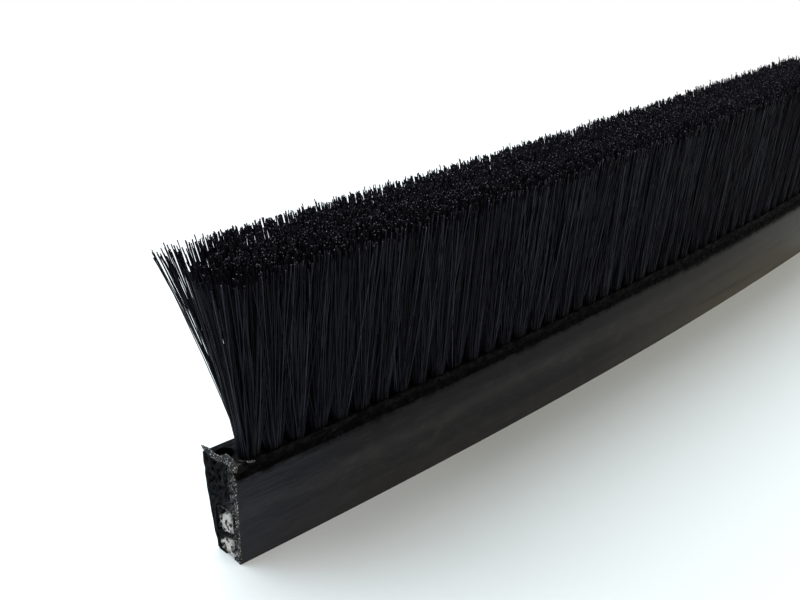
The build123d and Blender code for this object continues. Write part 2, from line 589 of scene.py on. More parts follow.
@dataclass(frozen=True)
class RailPlastic:
    """Black extruded plastic: satin with fine lines along it, and matt with pale frays where it is torn.

    The runs and the rise are places along the strip and heights, in millimetres, between which a mark
    grows to its full strength. Gloss is how strongly the surface mirrors. Light and shade are painted into
    both surfaces: on the face and its ends, on the burred band, the land and the bores, and along the ridge.
    """

    face: Colour = (0.0044, 0.0046, 0.0062)
    # The lighter tone of the streaks, which also paints light on the foot of the face
    streak_and_painted_light: Colour = (0.0270, 0.0268, 0.0280)
    # A painted bluish sheen on the near end of the face, streaked along its lines
    near_sheen: Colour = (0.0205, 0.0230, 0.0335)
    # A painted warm sheen on the far end of the face, strongest low down
    wear_and_far_sheen: Colour = (0.0520, 0.0490, 0.0400)
    # Painted shade on the burred band, the land and the bores, under the bristles
    painted_burr_shade: Colour = (0.0010, 0.0009, 0.0011)
    # A painted highlight along the lit ridge above the band
    painted_ridge_light: Colour = (0.0088, 0.0080, 0.0080)
    sawn: Colour = (0.0100, 0.0100, 0.0110)
    sawn_front: Colour = (0.0520, 0.0520, 0.0540)
    speck: Colour = (0.56, 0.56, 0.57)
    # Where the painted sheens of the near and far ends grow along the strip
    near_sheen_run: Span = (-96.0, -131.0)
    far_sheen_run: Span = (-10.0, 90.0)
    # The heights where the ridge's painted highlight grows
    ridge_rise: Span = (21.9, 22.9)
    gloss: float = 0.084
    torn_gloss: float = 0.02

    def drawn(self, bench: Bench, here: Value, up: Value) -> Value:
        """The surface as it leaves the die, with painted light and shade on its face.

        Args:
            bench: the material's bench.
            here: the place in the part's frame.
            up: the height above the floor.

        Returns:
            The satin surface.
        """
        lines = bench.streaks(here, 0.03, 0.5, 4.0, 0.65)
        broad = bench.streaks(here, 0.05, 3.4, 2.0)
        scratches = bench.streaks(here, 0.14, 0.4, 2.0)
        blotches = bench.streaks(here, 0.5, 3.0, 4.0, 0.6)
        mottle = bench.grain(here, 9.0, 3.0)
        fine = bench.grain(here, 0.12, 2.0)

        # Lighter towards the foot with painted light from the floor, and darker towards the top with painted
        # shade under the overhanging bristles
        foot, upper, shaded = up.ramp_mm(6.5, 1.0), up.ramp_mm(19.0, 13.0), up.ramp_mm(14.5, 18.5)
        middle = up.ramp_mm(9.0, 11.6) * up.ramp_mm(15.2, 12.6)
        rubbed = up.ramp_mm(5.0, 11.0) * up.ramp_mm(19.0, 14.0)
        light = (
            0.19 * middle * mottle.ramp(0.25, 0.60)
            + 0.30 * foot
            + 0.14 * upper
            + 0.26 * broad.ramp(0.40, 0.75)
            + 0.16 * lines.ramp(0.46, 0.66)
            + 0.26 * blotches.ramp(0.50, 0.72)
            + 0.30 * scratches.ramp(0.58, 0.68) * rubbed
            - 0.22 * shaded
        )
        base = bench.blend(light, self.face, self.streak_and_painted_light)

        # Painted sheen: bluish on the near end, and warm on the far end, most of all low down
        along = bench.axis(here, "X")
        near = along.ramp_mm(*self.near_sheen_run) * (0.25 + 0.45 * lines.ramp(0.40, 0.62))
        low = up.ramp_mm(14.0, 2.0) * broad.ramp(0.22, 0.58)
        far = along.ramp_mm(*self.far_sheen_run) * (0.28 + 0.72 * low)
        base = bench.blend(far, bench.blend(near, base, self.near_sheen), self.wear_and_far_sheen)

        normal = bench.bump(fine, 0.01, 0.25, bench.bump(lines, 0.03, 0.35))
        rough = 0.46 + 0.12 * lines
        return bench.surface(Base_Color=base, Roughness=rough, Normal=normal, Specular_IOR_Level=self.gloss)

    def torn(self, bench: Bench, here: Value, up: Value) -> Value:
        """The surface where it is drilled, burred or sawn, which reads the mesh's "sawn" and "frayed". Where
        it isn't sawn, its colour is painted shade, lifted in mottled patches towards the top into a painted
        highlight along the ridge.

        Args:
            bench: the material's bench.
            here: the place in the part's frame.
            up: the height above the floor.

        Returns:
            The matt surface.
        """
        torn = bench.grain(here, 0.55, 5.0, 0.7)
        flakes, crumbs = bench.cells(here, 0.6), bench.cells(here, 0.42)
        clumps = bench.streaks(here, 0.6, 1.6, 3.0)
        sawn, frayed = bench.kept("sawn"), bench.kept("frayed")

        # Painted shade on the burred band, the land and the bores, lifted in mottled patches into a painted
        # highlight towards the ridge
        ridge_light_share = clumps.ramp(0.44, 0.62) * torn.ramp(0.35, 0.6) * up.ramp_mm(*self.ridge_rise)
        edge = bench.blend(ridge_light_share, self.painted_burr_shade, self.painted_ridge_light)
        cut = bench.blend(frayed * torn.ramp(0.32, 0.60), self.sawn, self.sawn_front)
        specks = torn.ramp(0.52, 0.66) * flakes.ramp(0.50, 0.25) + crumbs.ramp(0.36, 0.16)
        base = bench.blend(sawn, edge, bench.blend(specks * frayed**1.6, cut, self.speck))
        normal = bench.bump(torn, 0.35)
        rough = 0.7 + 0.2 * torn
        gloss = self.torn_gloss
        return bench.surface(Base_Color=base, Roughness=rough, Normal=normal, Specular_IOR_Level=gloss)

    def material(self) -> bpy.types.Material:
        """Makes the material, which goes from one surface to the other by the mesh's number "torn"."""
        bench = Bench.for_finish("rail_plastic")
        here = bench.where()
        up = bench.axis(here, "Z")
        torn = bench.kept("torn")
        smear = bench.streaks(here, 0.5, 0.8, 3.0)
        share = (torn + 0.9 * (smear - 0.5) * (torn > 0.02)).ramp(0.08, 1.0)
        surfaces = {0: share, 1: self.drawn(bench, here, up), 2: self.torn(bench, here, up)}
        return bench.end(bench.node("ShaderNodeMixShader", None, surfaces))


@dataclass(frozen=True)
class BristleNylon:
    """Black filament with a soft sheen, each bristle of its own tone, with light and shade painted in."""

    dark: Colour = (0.0034, 0.0034, 0.0066)
    # Each bristle's tone is random, and the palest ones stand in for glints along single strands: painted
    # highlights
    light: Colour = (0.0215, 0.0235, 0.0365)
    # Painted shade among the crowded feet of the bristles, just above the land
    painted_foot_shade: Colour = (0.0012, 0.0011, 0.0016)
    # Painted shade on the sides by the tips inside the crown
    tip: Colour = (0.0020, 0.0017, 0.0025)
    # Pale cut ends: a painted highlight where the tips catch the light from above
    cut: Colour = (0.188, 0.164, 0.192)
    foot_shade_run: Span = (23.4, 26.6)
    dulled_run: Span = (-40.0, 40.0)
    gloss: float = 0.105
    dull_gloss: float = 0.03

    def material(self) -> bpy.types.Material:
        """Makes the finish of the bristles' sides, which reads the mesh's kept number "tone"."""
        bench = Bench.for_finish("bristle_nylon")
        here, tone = bench.where(), bench.kept("tone")
        along = bench.grain(bench.stretch(here, (1.0, 1.0, 0.12)), 0.6, 2.0)
        # Darker towards the land, with painted shade among the crowded feet
        above_foot_shade = bench.axis(here, "Z").ramp_mm(*self.foot_shade_run)
        # Fewer pale bristles, and so fewer painted glints, towards the far end
        dulled = bench.axis(here, "X").ramp_mm(*self.dulled_run)
        base = bench.blend(tone**5.0 * (1 - 0.85 * dulled), self.dark, self.light)
        base = bench.blend(above_foot_shade, self.painted_foot_shade, base)
        rough = 0.30 + 0.14 * along + 0.22 * (1 - tone) + 0.3 * (1 - above_foot_shade)
        normal = bench.bump(along, 0.02, 0.4)
        return bench.finish(Base_Color=base, Roughness=rough, Normal=normal, Specular_IOR_Level=self.gloss)

    def dull_shaded_tips(self) -> bpy.types.Material:
        """Makes the finish of the last few millimetres inside the crown, which the shears left dull and which
        painted shade darkens.
        """
        bench = Bench.for_finish("bristle_dull_shaded_tips")
        dust = bench.grain(bench.where(), 0.4)
        base = bench.blend(dust * bench.kept("tone"), self.tip, self.dark)
        return bench.finish(Base_Color=base, Roughness=0.6 + 0.3 * dust, Specular_IOR_Level=self.dull_gloss)

    def cut_ends_painted_glint(self) -> bpy.types.Material:
        """Makes the finish of the bristles' trimmed ends, whose pale tone is a painted highlight."""
        bench = Bench.for_finish("bristle_cut_ends_painted_glint")
        base = bench.blend(bench.kept("tone") ** 3.5, self.tip, self.cut)
        rough = 0.6 + 0.2 * bench.grain(bench.where(), 0.3)
        return bench.finish(Base_Color=base, Roughness=rough, Specular_IOR_Level=self.dull_gloss)


@dataclass(frozen=True)
class PorousCore:
    """Pale porous filler with dark pits, and painted shade where its end lies deep."""

    pale: Colour = (0.62, 0.61, 0.58)
    dull: Colour = (0.30, 0.29, 0.28)
    # The dark of the pits, which also paints shade where the end lies deep
    pit_and_recess_shade: Colour = (0.010, 0.010, 0.010)

    def material(self) -> bpy.types.Material:
        """Makes the material, which reads the mesh's kept number "sunk" and paints shade where it is high."""
        bench = Bench.for_finish("porous_core")
        here = bench.where()
        crumb = bench.grain(here, 0.5, 4.0, 0.6)
        holes = bench.cells(here, 1.15)
        pits = holes.ramp(0.44, 0.32)
        base = bench.blend(crumb.ramp(0.35, 0.6), self.dull, self.pale)
        base = bench.blend(pits, base, self.pit_and_recess_shade)
        # Painted shade where the crumbled end lies past its edges and deep
        base = bench.blend(bench.kept("sunk"), base, self.pit_and_recess_shade)
        normal = bench.bump(crumb - pits, 0.3)
        return bench.finish(Base_Color=base, Roughness=0.7 + 0.2 * crumb, Normal=normal)


@dataclass(frozen=True)
class DrawnWire:
    """Flat steel wire, with draw marks along it."""

    steel: Colour = (0.50, 0.50, 0.50)
    wear_and_far_sheen: Colour = (0.36, 0.35, 0.34)

    def material(self) -> bpy.types.Material:
        """Makes the material."""
        bench = Bench.for_finish("drawn_wire")
        marks = bench.streaks(bench.where(), 0.06, 0.15, 3.0)
        base = bench.blend(marks, self.steel, self.wear_and_far_sheen)
        normal = bench.bump(marks, 0.01, 0.5)
        return bench.finish(Base_Color=base, Metallic=1.0, Roughness=0.28 + 0.2 * marks, Normal=normal)


@dataclass
class Rail:
    """The extruded rail, with its holes, its burred front edge and its sawn ends.

    Sizes are in millimetres. The sawn depth and the torn bore's are how far from a cut end its rough
    finish reaches. A bore has its sides, its levels and its roughness. A tear spot has its distance
    behind the front face, its height and its radius.
    """

    strip: Strip
    bevel_height: float = 2.7
    bevel_depth: float = 1.0
    corner_round: float = 0.5
    front_wall: float = 1.9
    back_wall: float = 1.1
    chamber_wall: float = 2.6
    channel_height: float = 12.3
    channel_shoulder: float = 0.9
    sole_thickness: float = 0.6
    slot_width: float = 3.0
    slot_setback: float = 0.5
    notch_radius: float = 0.8
    rib_height: float = 5.5
    rib_rise: float = -1.2
    rib_thickness: float = 0.6
    station_step: float = 0.62
    end_step: float = 0.2
    end_zone: float = 2.4
    sawn_depth: float = 0.5
    torn_bore_depth: float = 1.9
    cap_grain: float = 0.36
    finer_below: float = 1.5
    ridge_width: float = 0.5
    ridge_reach: float = 0.9
    clean_bore: tuple[int, int, float] = (28, 4, 0.012)
    torn_bore: tuple[int, int, float] = (40, 26, 0.2)
    tear_spots: tuple[tuple[float, float, float], ...] = (
        (6.2, 19.0, 0.75), (6.5, 16.6, 0.62), (6.0, 14.3, 0.5), (6.3, 11.9, 0.5),
        (8.6, 20.4, 0.55), (8.9, 17.2, 0.45), (0.9, 23.0, 0.85),
    )
    seed: int = 5
    rng: np.random.Generator = field(init=False)

    def __post_init__(self) -> None:
        """Seeds the rail's own randomness."""
        self.rng = np.random.default_rng(self.seed)

    def stations(self) -> Points:
        """Where the section is repeated along the bow, closer together near the ends."""
        half = self.strip.half_length
        middle = np.arange(-half + self.end_zone, half - self.end_zone, self.station_step)
        near = np.arange(-half, -half + self.end_zone, self.end_step)
        return np.concatenate([near, middle, -near[::-1]])

    def outline(self) -> Points:
        """The section's outer outline, with the open lower chamber as part of it.

        Returns:
            Rows of distance behind the front face and height above the floor.
        """
        strip, sole, top = self.strip, self.sole_thickness, self.strip.rail_height
        bevel_foot = top - self.bevel_height
        finer, ridge = bevel_foot - self.finer_below, self.bevel_depth + self.ridge_width
        corner = np.array([strip.top_width - self.corner_round, top - self.corner_round])
        slot_front = self.front_wall + self.slot_setback
        slot_back = slot_front + self.slot_width
        inner_foot = strip.foot_width - self.back_wall
        inner_rib = strip.back_face(self.rib_height) - self.back_wall

        # The front face, the bevel and the land, each with the step between its points
        runs = [
            ((0, 0), (0, finer), 1.3),
            ((0, finer), (0, bevel_foot), 0.28),
            ((0, bevel_foot), (self.bevel_depth, top), 0.32),
            ((self.bevel_depth, top), (ridge, top), 0.2),
            ((ridge, top), (corner[0], top), 0.8),
        ]
        points = [np.linspace(a, b, max(2, round(math.dist(a, b) / step) + 1))[:-1] for a, b, step in runs]

        # The rounded back edge and the back face
        turn = np.radians(np.linspace(90, 10, 5))
        points.append(corner + self.corner_round * np.stack([np.cos(turn), np.sin(turn)], axis=-1))
        heights = np.linspace(top - 1.2, self.corner_round, 15)
        points.append(np.array([(strip.back_face(height), height) for height in heights]))

        # The back foot, the lower chamber with its notch, and the front foot
        foot, round_foot = strip.foot_width, 0.15
        points.append(np.array([
            (foot - round_foot, round_foot), (foot - self.corner_round, 0), (slot_back, 0), (slot_back, sole),
            (inner_foot, sole), ((inner_foot + inner_rib) / 2, self.rib_height / 2),
            (inner_rib, self.rib_height + self.rib_rise), (self.front_wall, self.rib_height),
            (self.front_wall, 3.8), (self.front_wall, sole + 2 * self.notch_radius),
        ]))
        arc = np.radians(np.linspace(100, 260, 7))
        points.append(np.stack([self.front_wall + self.notch_radius * np.cos(arc),
                                sole + self.notch_radius * (1 + np.sin(arc))], axis=-1))
        points.append(np.array([(slot_front, sole), (slot_front, 0), (slot_front / 2, 0)]))
        return np.concatenate(points)

    def chamber(self) -> Points:
        """The closed upper chamber's outline."""
        strip = self.strip
        roof = self.channel_height - self.channel_shoulder
        back_roof = strip.back_face(self.channel_height) - self.chamber_wall
        floor = self.rib_height + self.rib_thickness
        middle = (floor + roof) / 2
        return np.array([
            (self.front_wall, floor), (back_roof, floor + self.rib_rise), (back_roof, roof),
            (back_roof - self.channel_shoulder, self.channel_height),
            (self.front_wall + self.channel_shoulder, self.channel_height), (self.front_wall, roof),
            (self.front_wall, middle),
        ])

    def roughen(self, along: Points, section: Points) -> Points:
        """Moves the swept outline where the real surface isn't smooth.

        Args:
            along: the place along the bow of each point.
            section: its distance behind the front face and its height.

        Returns:
            The moved section points.
        """
        strip, top = self.strip, self.strip.rail_height
        back, up = section[:, 0].copy(), section[:, 1].copy()
        flat = np.stack([along, back * 1.6, up * 1.6], axis=-1)
        coarse, fine = ripple(flat, Bumps.BURR), ripple(flat, Bumps.BURR_FINE)

        # The band on the bevel is lumpy, and chipped along its lower edge
        bevel_foot = top - self.bevel_height
        on_band = (back < self.bevel_depth + 0.3) & (up > bevel_foot - 0.1)
        lower_edge = np.exp(-(((up - bevel_foot - 0.85) / 0.5) ** 2)) * on_band
        level = np.stack([along, 0 * along, 0 * along], axis=-1)
        chips = np.clip(ripple(level, Bumps.BURR_CHIPS) + 0.05, 0, 1)
        back += on_band * (0.20 * coarse + 0.14 * fine) + lower_edge * (0.38 + 0.5 * chips)

        # The ridge above it stands up, most beside each hole, and the land behind is nearly flat
        on_top = up > top - 0.05
        ridge = on_top & (back < self.bevel_depth + self.ridge_reach)
        from_hole = np.abs((along + strip.half_length + strip.pitch / 2) % strip.pitch - strip.pitch / 2)
        scallop = np.exp(-((from_hole / 1.5) ** 2))
        up += ridge * np.clip(0.40 + 0.35 * coarse + 0.25 * fine + 0.15 * scallop, 0.05, 1.1)
        land = on_top & ~ridge & (back < strip.top_width - 0.2)
        up += land * 0.08 * coarse
        return np.stack([back, up], axis=-1)

    def tear(self, along: Points, section: Points, depth: Points | float = 0.0) -> Points:
        """Moves what lies near a cut end along the strip, as the saw tore it.

        Args:
            along: the place along the bow of each point.
            section: its distance behind the front face and its height.
            depth: how much deeper than the rim each point lies.

        Returns:
            The moved places along the bow.
        """
        end = np.sign(along)
        flat = np.column_stack([section, end * 40.0])
        ragged = 0.16 * ripple(flat, Bumps.SAWN_EDGE) + 0.16 * ripple(flat, Bumps.SAWN_EDGE_FINE) - 0.16
        fade = np.exp(-(self.strip.half_length - np.abs(along)) / 0.6)
        return along + end * fade * (ragged - depth)

    def cap(self, rim: Points, chamber: Points, end: End) -> tuple[Points, Faces]:
        """Fills one end of the section with a rough sawn face.

        Args:
            rim: the outer outline at that end.
            chamber: the upper chamber's outline there.
            end: which end it is.

        Returns:
            The new points inside the rim, in flat coordinates, and the triangles. The first point
            numbers are those of the rim, then the chamber's, then the new ones.
        """
        loops = np.concatenate([rim, chamber])
        low, high = rim.min(axis=0), rim.max(axis=0)
        grid = np.stack(np.meshgrid(*(np.arange(a, b, self.cap_grain) for a, b in zip(low, high))), -1)
        grid = grid.reshape(-1, 2) + self.rng.uniform(-0.12, 0.12, (grid.size // 2, 2))
        grid = grid[nearest(grid, loops) > 0.6 * self.cap_grain]
        inner, triangles = fill_between(rim, chamber, grid)

        # The sawn face is pitted, and more so away from its outlines
        flat = np.column_stack([inner, np.full(len(inner), end.value * 25.0)])
        pits = np.clip(ripple(flat, Bumps.SAWN_PITS) + 0.1, 0, 1)
        pits += 0.5 * np.clip(ripple(flat, Bumps.SAWN_PITS_FINE), 0, 1)
        depth = 1.1 * np.clip(nearest(inner, loops) / 0.9, 0, 1) * pits
        along = self.tear(np.full(len(inner), end.value * self.strip.half_length), inner, depth)
        return np.column_stack([along, inner]), triangles

    def body(self) -> bpy.types.Mesh:
        """Sweeps the section along the bow and closes both ends."""
        stations, rim, chamber = self.stations(), self.outline(), self.chamber()
        count = len(stations)
        rim_along = np.repeat(stations, len(rim))
        rim_swept = self.roughen(rim_along, np.tile(rim, (count, 1)))
        chamber_along = np.repeat(stations, len(chamber))
        chamber_swept = np.tile(chamber, (count, 1))
        flat = [
            np.column_stack([self.tear(rim_along, rim_swept), rim_swept]),
            np.column_stack([self.tear(chamber_along, chamber_swept), chamber_swept]),
        ]
        chamber_start = len(flat[0])
        groups = [
            sheet_of_faces(count, len(rim)),
            sheet_of_faces(count, len(chamber), start=chamber_start),
        ]
        made = chamber_start + len(flat[1])
        triangles = []
        for end, station in ((End.NEAR, 0), (End.FAR, count - 1)):
            rim_here = rim_swept[station * len(rim) : (station + 1) * len(rim)]
            inner, faces = self.cap(rim_here, chamber, end)
            numbers = np.concatenate([
                station * len(rim) + np.arange(len(rim)),
                chamber_start + station * len(chamber) + np.arange(len(chamber)),
                made + np.arange(len(inner)),
            ])
            triangles.append(numbers[faces])
            flat.append(inner)
            made += len(inner)
        points = np.concatenate(flat)
        mesh = make_mesh("rail_body", self.strip.place(*points.T), [*groups, np.concatenate(triangles)])
        face_outwards(mesh)
        return mesh

    def drills(self) -> bpy.types.Mesh:
        """The drilled holes as one mesh of slightly uneven cylinders, torn ones at the cut ends."""
        strip, made = self.strip, 0
        points, quads, lids = [], [], []
        for row, back in ((Row.FRONT, strip.front_row), (Row.BACK, strip.back_row)):
            for along in strip.holes(row):
                open_ended = abs(along) > strip.half_length - 0.1
                sides, levels, rough = self.torn_bore if open_ended else self.clean_bore
                turn = np.linspace(0, 2 * math.pi, sides, endpoint=False)[None, :]
                heights = np.linspace(strip.hole_floor, strip.rail_height + 3, levels)[:, None]
                wall = np.broadcast_arrays(along + 2 * np.cos(turn), 2 * np.sin(turn), heights * 0.8)
                flat = np.stack(wall, -1)
                lumps = (ripple(flat, Bumps.BORE) + ripple(flat, Bumps.BORE_FINE)).reshape(levels, sides)
                clogged = open_ended * (0.30 + 0.30 * np.clip(-np.sin(turn), 0, 1))
                reach = (strip.hole_radius - 0.03) * (1 - rough + rough * lumps) * (1 - clogged)
                sunk = rough * 8 * (1 + np.cos(3 * turn + along))
                up = heights + np.where(heights > strip.hole_floor, 0, sunk)
                places = strip.place(along + reach * np.cos(turn), back + reach * np.sin(turn), up)
                points.append(places.reshape(-1, 3))
                quads.append(sheet_of_faces(levels, sides, start=made))
                for lid in (np.arange(sides)[::-1], (levels - 1) * sides + np.arange(sides)):
                    lids.append(np.stack([np.full(sides - 2, lid[0]), lid[1:-1], lid[2:]], -1) + made)
                made += levels * sides
        mesh = make_mesh("drills", np.concatenate(points), [np.concatenate(quads), np.concatenate(lids)])
        face_outwards(mesh)
        return mesh

    def tears(self) -> bpy.types.Mesh:
        """Ragged openings that the saw tore into the thin walls at the near end."""
        work = bmesh.new()
        for back, up, size in self.tear_spots:
            made = bmesh.ops.create_icosphere(work, subdivisions=2, radius=size)
            seed = Vector((back, up, size))
            centre = Vector(self.strip.place(-self.strip.half_length + 0.35, back, up))
            for vert in made["verts"]:
                vert.co *= 1 + 0.35 * noise.noise(vert.co * 2.2 / size + seed)
                vert.co = centre + Vector((vert.co.x * 1.4, vert.co.y * 0.7, vert.co.z * 1.3))
        bmesh.ops.scale(work, vec=(MM, MM, MM), verts=work.verts)
        mesh = bpy.data.meshes.new("tears")
        work.to_mesh(mesh)
        work.free()
        return mesh

    def cut(self, body: bpy.types.Mesh, *cutters: bpy.types.Mesh) -> bpy.types.Mesh:
        """Takes cutters away from a body.

        Args:
            body: the closed mesh that is cut.
            cutters: closed meshes to take away, one after another.

        Returns:
            What is left.
        """
        scene = bpy.context.scene.collection.objects
        piece = bpy.data.objects.new("cutting", body)
        scene.link(piece)
        tools = [bpy.data.objects.new(cutter.name, cutter) for cutter in cutters]
        for tool in tools:
            scene.link(tool)
            step = piece.modifiers.new(tool.name, "BOOLEAN")
            step.operation = "DIFFERENCE"
            step.solver = "MANIFOLD"
            step.object = tool
        bpy.context.view_layer.update()
        shown = piece.evaluated_get(bpy.context.evaluated_depsgraph_get())
        left = bpy.data.meshes.new_from_object(shown)
        for thing in (piece, *tools):
            bpy.data.objects.remove(thing)
        return left

    def mark(self, mesh: bpy.types.Mesh) -> None:
        """Keeps on each point how torn, how sawn and how frayed it is; the torn finish paints shade on the
        burred band, the land and the bores.
        """
        strip = self.strip
        along, back, up = strip.unbend(mesh_points(mesh)).T
        bevel_foot = strip.rail_height - self.bevel_height

        bore_back = np.abs(back - strip.front_row) < strip.hole_radius + 0.2
        depth = np.where(bore_back & (up > strip.hole_floor - 0.6), self.torn_bore_depth, self.sawn_depth)
        sawn = np.clip(1.6 - (strip.half_length - np.abs(along)) / depth, 0, 1)

        frayed = 0.75 * np.clip(1.1 - back / 5.5, 0, 1) + 0.4 * np.exp(-np.clip(back, 0, None) / 0.8)
        frayed += 0.35 * np.clip((7 - up) / 4, 0, 1) * (back < self.front_wall + 0.2)

        # The burred band, which reaches lower towards the far end, takes the torn finish and its painted
        # shade, and so do the land and the bores
        level = np.column_stack([along, np.zeros((len(along), 2))])
        wave = 0.25 + 0.5 * ripple(level, Bumps.BURR_FOOT) + 0.3 * ripple(level, Bumps.BURR_FOOT_FINE)
        wave += 1.2 * np.clip(along / 50, 0, 1)
        fading = np.clip(0.5 + (up - (bevel_foot - wave)) / 2.0, 0, 1)
        burred = np.where(up > bevel_foot + 0.2, 1, fading) * (back < strip.top_width - 0.4)
        drilled = (up > strip.hole_floor - 0.05) & (back > 0.9) & (back < strip.top_width - 1.3)

        store(mesh, "torn", np.maximum.reduce([burred, drilled, sawn]))
        store(mesh, "sawn", sawn)
        store(mesh, "frayed", np.clip(frayed, 0, 1))

    def build(self, finish: bpy.types.Material) -> bpy.types.Object:
        """Makes the rail and lets it stand for the CAD one.

        Args:
            finish: the rail's material.

        Returns:
            The rail's piece.
        """
        mesh = self.cut(self.body(), self.drills(), self.tears())
        mesh.name = "rail_extrusion"
        mesh.materials.clear()
        self.mark(mesh)
        smooth_below(mesh, 40)
        piece = put_on_strip(mesh, Slot.RAIL, finish)
        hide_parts("rail")
        return piece


@dataclass
class Filler:
    """The pale core in one chamber of the channel.

    Beyond its crumbled edges, the core's end is broken away and lies deep, darkened with painted shade. Each
    edge is a place behind the front face and above the floor, and the way across the edge, towards what is
    lost.
    """

    strip: Strip
    node: str
    outline: Points
    edges: tuple[tuple[float, float, float, float], ...]
    proud: float = 0.1
    step: float = 6.0
    end_step: float = 0.35
    end_zone: float = 3.0
    grain: float = 0.3
    seed: int = 9

    def crumble(self, along: Points, section: Points, half: float) -> Points:
        """Draws the swept outline in where the core has crumbled at its ends.

        Args:
            along: the place along the bow of each point.
            section: its distance behind the front face and its height.
            half: half the core's length.

        Returns:
            The moved section points.
        """
        places = np.column_stack([along * 0.5, section])
        share = 0.14 + 0.60 * ripple(places, Bumps.CORE) + 0.22 * ripple(places, Bumps.CORE_FINE)
        near_end = np.exp(-(half - np.abs(along)) / 1.2)[:, None]
        inwards = self.outline.mean(axis=0) - section
        return section + inwards * near_end * np.clip(share, 0.02, 0.6)[:, None]

    def fill_end(self, ring: Points, rng: np.random.Generator) -> tuple[Points, list[Faces]]:
        """Fills one end with shrinking rings about its middle.

        Args:
            ring: the outline at that end.
            rng: the source of chance.

        Returns:
            The new places inside the ring, and the faces. The first point numbers are the ring's.
        """
        around, centre = len(ring), self.outline.mean(axis=0)
        shrink = np.linspace(1, 0, round(np.ptp(ring[:, 0]) / 2 / self.grain) + 1)[1:-1]
        rings = centre + (ring - centre)[None] * shrink[:, None, None]
        inner = rings.reshape(-1, 2) + rng.uniform(-0.05, 0.05, (rings.size // 2, 2))
        tip = np.stack([np.arange(around), (np.arange(around) + 1) % around, np.full(around, around)], -1)
        return np.concatenate([inner, centre[None]]), [
            sheet_of_faces(len(shrink) + 1, around), tip + len(shrink) * around,
        ]

    def build(self, finish: bpy.types.Material) -> bpy.types.Object:
        """Sweeps the chamber's outline along the bow, with a crumbled end at each cut.

        Args:
            finish: the core's material.

        Returns:
            The core's piece.
        """
        rng = np.random.default_rng(self.seed)
        strip, half, around = self.strip, self.strip.half_length - self.proud, len(self.outline)
        near = np.arange(-half, -half + self.end_zone, self.end_step)
        middle = np.arange(-half + self.end_zone, half - self.end_zone, self.step)
        stations = np.concatenate([near, middle, -near[::-1]])
        along = np.repeat(stations, around)
        swept = self.crumble(along, np.tile(self.outline, (len(stations), 1)), half)
        # What lies past the crumbled edges, and deeper in the end, takes painted shade
        flat, sunk = [np.column_stack([along, swept])], [self.hidden(swept)]
        groups, made = [sheet_of_faces(len(stations), around)], len(along)
        for end, station in ((End.NEAR, 0), (End.FAR, len(stations) - 1)):
            first = station * around
            inner, faces = self.fill_end(swept[first : first + around], rng)
            depth = self.hollow(inner, end)
            flat.append(np.column_stack([end.value * (half - depth), inner]))
            sunk.append(np.clip(self.hidden(inner) + (depth - 0.9) / 0.8, 0, 1))
            numbers = np.concatenate([first + np.arange(around), made + np.arange(len(inner))])
            groups += [numbers[group] for group in faces]
            made += len(inner)
        mesh = make_mesh(f"{self.node}_core", strip.place(*np.concatenate(flat).T), groups)
        face_outwards(mesh)
        store(mesh, "sunk", np.concatenate(sunk))
        smooth_below(mesh, 50)
        piece = put_on_strip(mesh, Slot.FILLER, finish)
        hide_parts(self.node)
        return piece

    def hidden(self, section: Points) -> Points:
        """How much of each place of a section lies past the crumbled edges, from 0 to 1."""
        back, up = section.T
        ragged = 0.8 * ripple(np.column_stack([section, np.zeros(len(section))]), Bumps.CORE_EDGE)
        past = [across * (back - edge_back) + rise * (up - edge_up)
                for edge_back, edge_up, across, rise in self.edges]
        return np.clip((np.maximum.reduce(past) + ragged) / 0.4, 0, 1)

    def hollow(self, section: Points, end: End) -> Points:
        """How far the crumbled end lies inside the cut.

        Args:
            section: places on the end, behind the front face and above the floor.
            end: which end it is.

        Returns:
            Depths in millimetres.
        """
        flat = np.column_stack([section, np.full(len(section), end.value * 11.0)])
        kinds = (Bumps.CORE_HOLLOW, Bumps.CORE_HOLLOW_FINE)
        coarse, fine = (0.5 + 0.5 * ripple(flat, kind) for kind in kinds)
        return 0.9 * coarse**2 + 0.25 * fine + 2.0 * self.hidden(section)


LIP_SECTION = np.array([(-0.5, 0), (-0.52, 0.35), (-0.4, 0.7), (-0.1, 1), (0.25, 0.92), (0.5, 0.6),
                        (0.55, 0.25), (0.5, 0)])


